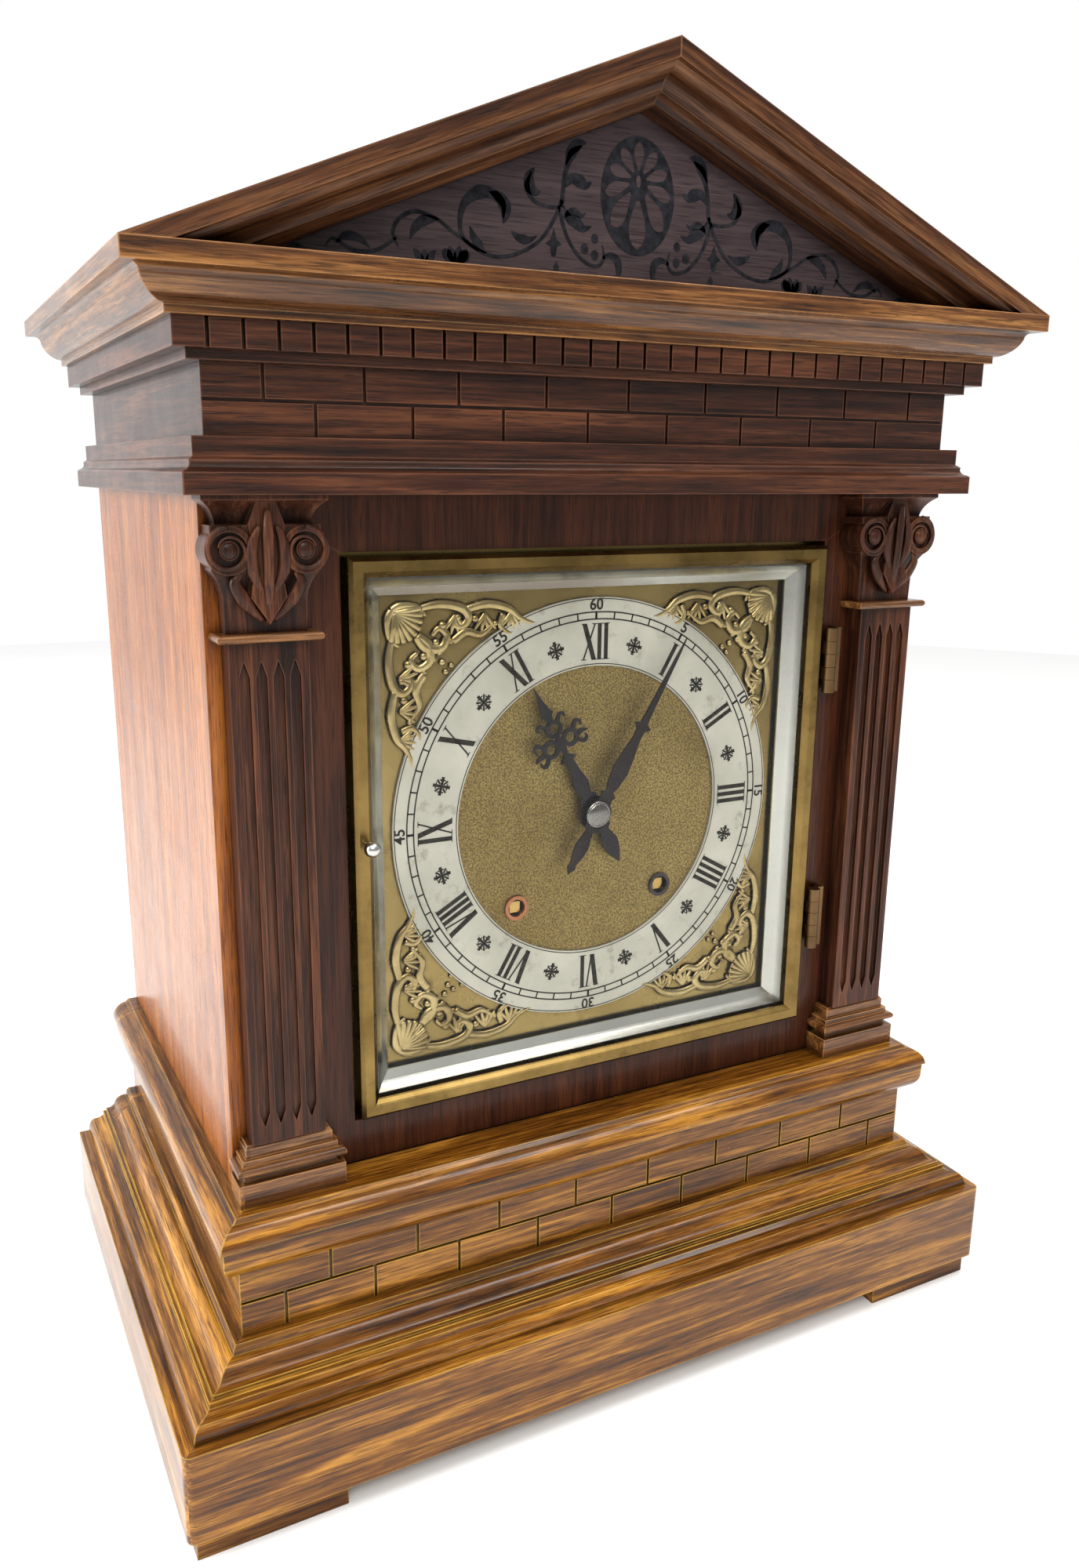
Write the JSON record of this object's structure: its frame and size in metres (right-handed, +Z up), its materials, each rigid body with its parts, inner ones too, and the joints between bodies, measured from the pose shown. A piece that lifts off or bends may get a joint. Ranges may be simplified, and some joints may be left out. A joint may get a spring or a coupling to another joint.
{
  "type": "bracket clock",
  "caption": "Architectural wooden bracket clock with pediment, fluted pilasters, glazed brass door and silvered chapter ring.",
  "frame": {"origin": "middle of the footprint on the ground", "axes": "+X to the clock's right as seen from the front, +Y to the back, +Z up"},
  "size_m": [0.3404, 0.2198, 0.4645],
  "materials": {
    "walnut_base": "satin",
    "walnut_body": "satin",
    "carcass_wood": "matte",
    "brass": "polished",
    "dial_gilt": "matte",
    "silvered": "satin",
    "hand_steel": "polished",
    "steel": "satin",
    "glass": "clear",
    "pendulum_brass": "satin"
  },
  "bodies": {
    "case": {"feet": "walnut_base", "plinth": "walnut_base", "base_moulding": "walnut_base", "back_rails": "carcass_wood", "base_board": "carcass_wood", "lower_frieze": "walnut_base", "shelf_moulding": "walnut_base", "side_panel_left": "walnut_body", "side_panel_right": "walnut_body", "surround": "walnut_body", "back_frame": "carcass_wood", "pilaster_bases": "walnut_base", "pilaster_shafts": "walnut_body", "astragals": "walnut_body", "capitals": "walnut_body", "architrave": "walnut_body", "upper_frieze": "walnut_body", "bed_moulding": "walnut_body", "dentil_strip": "walnut_body", "cornice": "walnut_body", "top_board": "carcass_wood", "raking_cornice": "walnut_body", "tympanum": "walnut_body", "roof_boards": "walnut_body", "back_gable": "carcass_wood", "case_hinge_leaves": "brass", "dial_plate": "brass", "chapter_ring": "silvered", "dial_centre": "dial_gilt", "winding_grommets": "brass", "spandrels": "dial_gilt", "dial_feet": "brass", "movement_front_plate": "brass", "movement_back_plate": "brass", "movement_pillars": "brass", "seat_board": "carcass_wood", "seat_rails": "carcass_wood", "back_cock": "brass", "gong": "steel", "gong_block": "carcass_wood", "back_hinges": "brass"},
    "front_door": {"door_frame": "brass", "door_glass": "glass", "sight_frame": "silvered", "door_knob": "brass", "door_hinge_knuckles": "brass"},
    "minute_train": {"cannon_arbor": "steel", "minute_hand": "hand_steel", "hand_nut": "brass"},
    "hour_train": {"hour_wheel": "brass", "hour_hand": "hand_steel"},
    "motion_wheel": {"minute_wheel": "brass"},
    "going_side": {"going_barrel": "brass"},
    "strike_side": {"strike_barrel": "brass"},
    "pendulum": {"pendulum_rod": "steel", "pendulum_bob": "pendulum_brass"},
    "strike_hammer": {"hammer": "steel"},
    "rear_door": {"back_door": "carcass_wood"},
    "rear_knob": {"back_knob": "brass"}
  },
  "joints": [
    {"name": "front_door_hinge", "type": "hinge", "parent": "case", "child": "front_door", "pos_m": [0.0982, -0.0738, 0.2174], "axis": [0, 0, 1], "range_deg": [0, 105]},
    {"name": "minute_turn", "type": "hinge", "parent": "case", "child": "minute_train", "pos_m": [0, -0.0467, 0.2186], "axis": [0, 1, 0], "continuous": true},
    {"name": "hour_turn", "type": "hinge", "parent": "case", "child": "hour_train", "pos_m": [0, -0.0547, 0.2186], "axis": [0, 1, 0], "continuous": true},
    {"name": "motion_turn", "type": "hinge", "parent": "case", "child": "motion_wheel", "pos_m": [0, -0.0507, 0.2426], "axis": [0, 1, 0], "continuous": true},
    {"name": "going_wind", "type": "hinge", "parent": "case", "child": "going_side", "pos_m": [0.031, -0.0467, 0.1856], "axis": [0, 1, 0], "continuous": true},
    {"name": "strike_wind", "type": "hinge", "parent": "case", "child": "strike_side", "pos_m": [-0.031, -0.0467, 0.1856], "axis": [0, 1, 0], "continuous": true},
    {"name": "pendulum_swing", "type": "hinge", "parent": "case", "child": "pendulum", "pos_m": [0, 0.02305, 0.2706], "axis": [0, 1, 0], "range_deg": [-4, 4]},
    {"name": "hammer_lift", "type": "hinge", "parent": "case", "child": "strike_hammer", "pos_m": [0.052, 0.0143, 0.2616], "axis": [0, -1, 0], "range_deg": [0, 15]},
    {"name": "rear_door_hinge", "type": "hinge", "parent": "case", "child": "rear_door", "pos_m": [0.1101, 0.107, 0.21835], "axis": [0, 0, -1], "range_deg": [0, 110]},
    {"name": "rear_knob_turn", "type": "hinge", "parent": "rear_door", "child": "rear_knob", "pos_m": [-0.1008, 0.1053, 0.21835], "axis": [0, 1, 0], "range_deg": [0, 90]}
  ],
  "couplings": [
    {"joint": "hour_turn", "follows": "minute_turn", "ratio": 0.083333},
    {"joint": "motion_turn", "follows": "minute_turn", "ratio": -0.33333}
  ]
}
